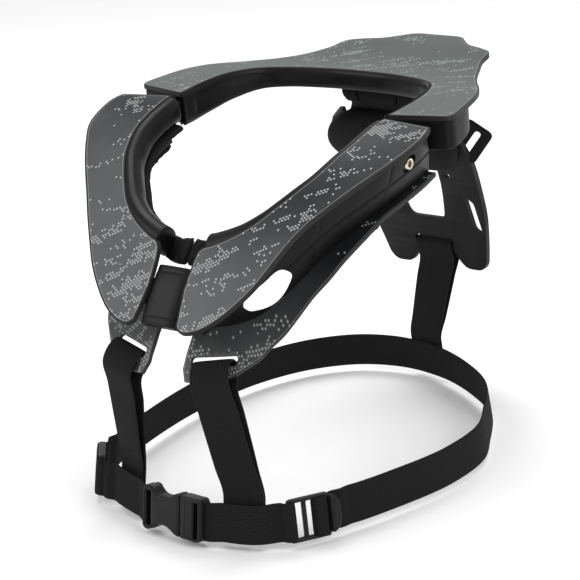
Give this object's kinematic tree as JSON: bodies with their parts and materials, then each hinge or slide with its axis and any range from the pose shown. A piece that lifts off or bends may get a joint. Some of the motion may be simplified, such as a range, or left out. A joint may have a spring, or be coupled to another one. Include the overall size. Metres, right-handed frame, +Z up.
{
  "type": "neck brace",
  "caption": "Off-road rider's neck brace: rigid printed plates round an open neck hole, chest plates, a padded back plate and a buckled webbing belt on double straps.",
  "frame": {"origin": "middle of the neck opening's width, on the line where the two arms meet the rear platform, at the height of the plates' top faces there", "axes": "+X is the wearer's left, -Y is the wearer's front, +Z is up as worn"},
  "size_m": [0.2572, 0.3554, 0.2618],
  "materials": {
    "printed_shell": "graphite moulded shell under a printed pattern of small light hexagonal dots, satin",
    "chest_shell": "near-black shell with a few light dots at its lower end, satin to gloss",
    "body_plastic": "black moulded plastic, fine grain",
    "back_plastic": "charcoal moulded plastic, fine grain",
    "bumper_rubber": "black soft moulding, low sheen",
    "pad_fabric": "black covered foam",
    "gap_edge": "thin dark red edge",
    "bolt_steel": "socket screw, warm bright steel",
    "webbing": "black woven nylon webbing",
    "fitting_plastic": "black moulded buckle plastic, satin"
  },
  "bodies": {
    "root": {"arm_plate_left": "printed_shell", "arm_plate_right": "printed_shell", "rear_platform": "printed_shell", "chest_plate_left": "chest_shell", "chest_plate_right": "chest_shell", "arm_body_left": "body_plastic", "arm_body_right": "body_plastic", "rear_body": "body_plastic", "back_plate": "back_plastic", "side_bracket_left": "body_plastic", "side_bracket_right": "body_plastic", "arm_bumper_left": "bumper_rubber", "arm_bumper_right": "bumper_rubber", "rear_bumper": "bumper_rubber", "front_joiner": "bumper_rubber", "arm_pad_left": "pad_fabric", "arm_pad_right": "pad_fabric", "chest_pad_left": "pad_fabric", "chest_pad_right": "pad_fabric", "rear_pad_left": "pad_fabric", "rear_pad_middle": "pad_fabric", "rear_pad_right": "pad_fabric", "back_pad": "pad_fabric", "gap_edge_left": "gap_edge", "gap_edge_right": "gap_edge", "side_bolt_left": "bolt_steel", "side_bolt_right": "bolt_steel", "belt_rear": "webbing", "belt_front_left": "webbing", "belt_front_right": "webbing", "front_strap_left": "webbing", "front_strap_right": "webbing", "rear_strap": "webbing", "buckle_socket": "fitting_plastic", "buckle_plug": "fitting_plastic", "adjuster_left": "fitting_plastic", "adjuster_right": "fitting_plastic"}
  },
  "joints": []
}
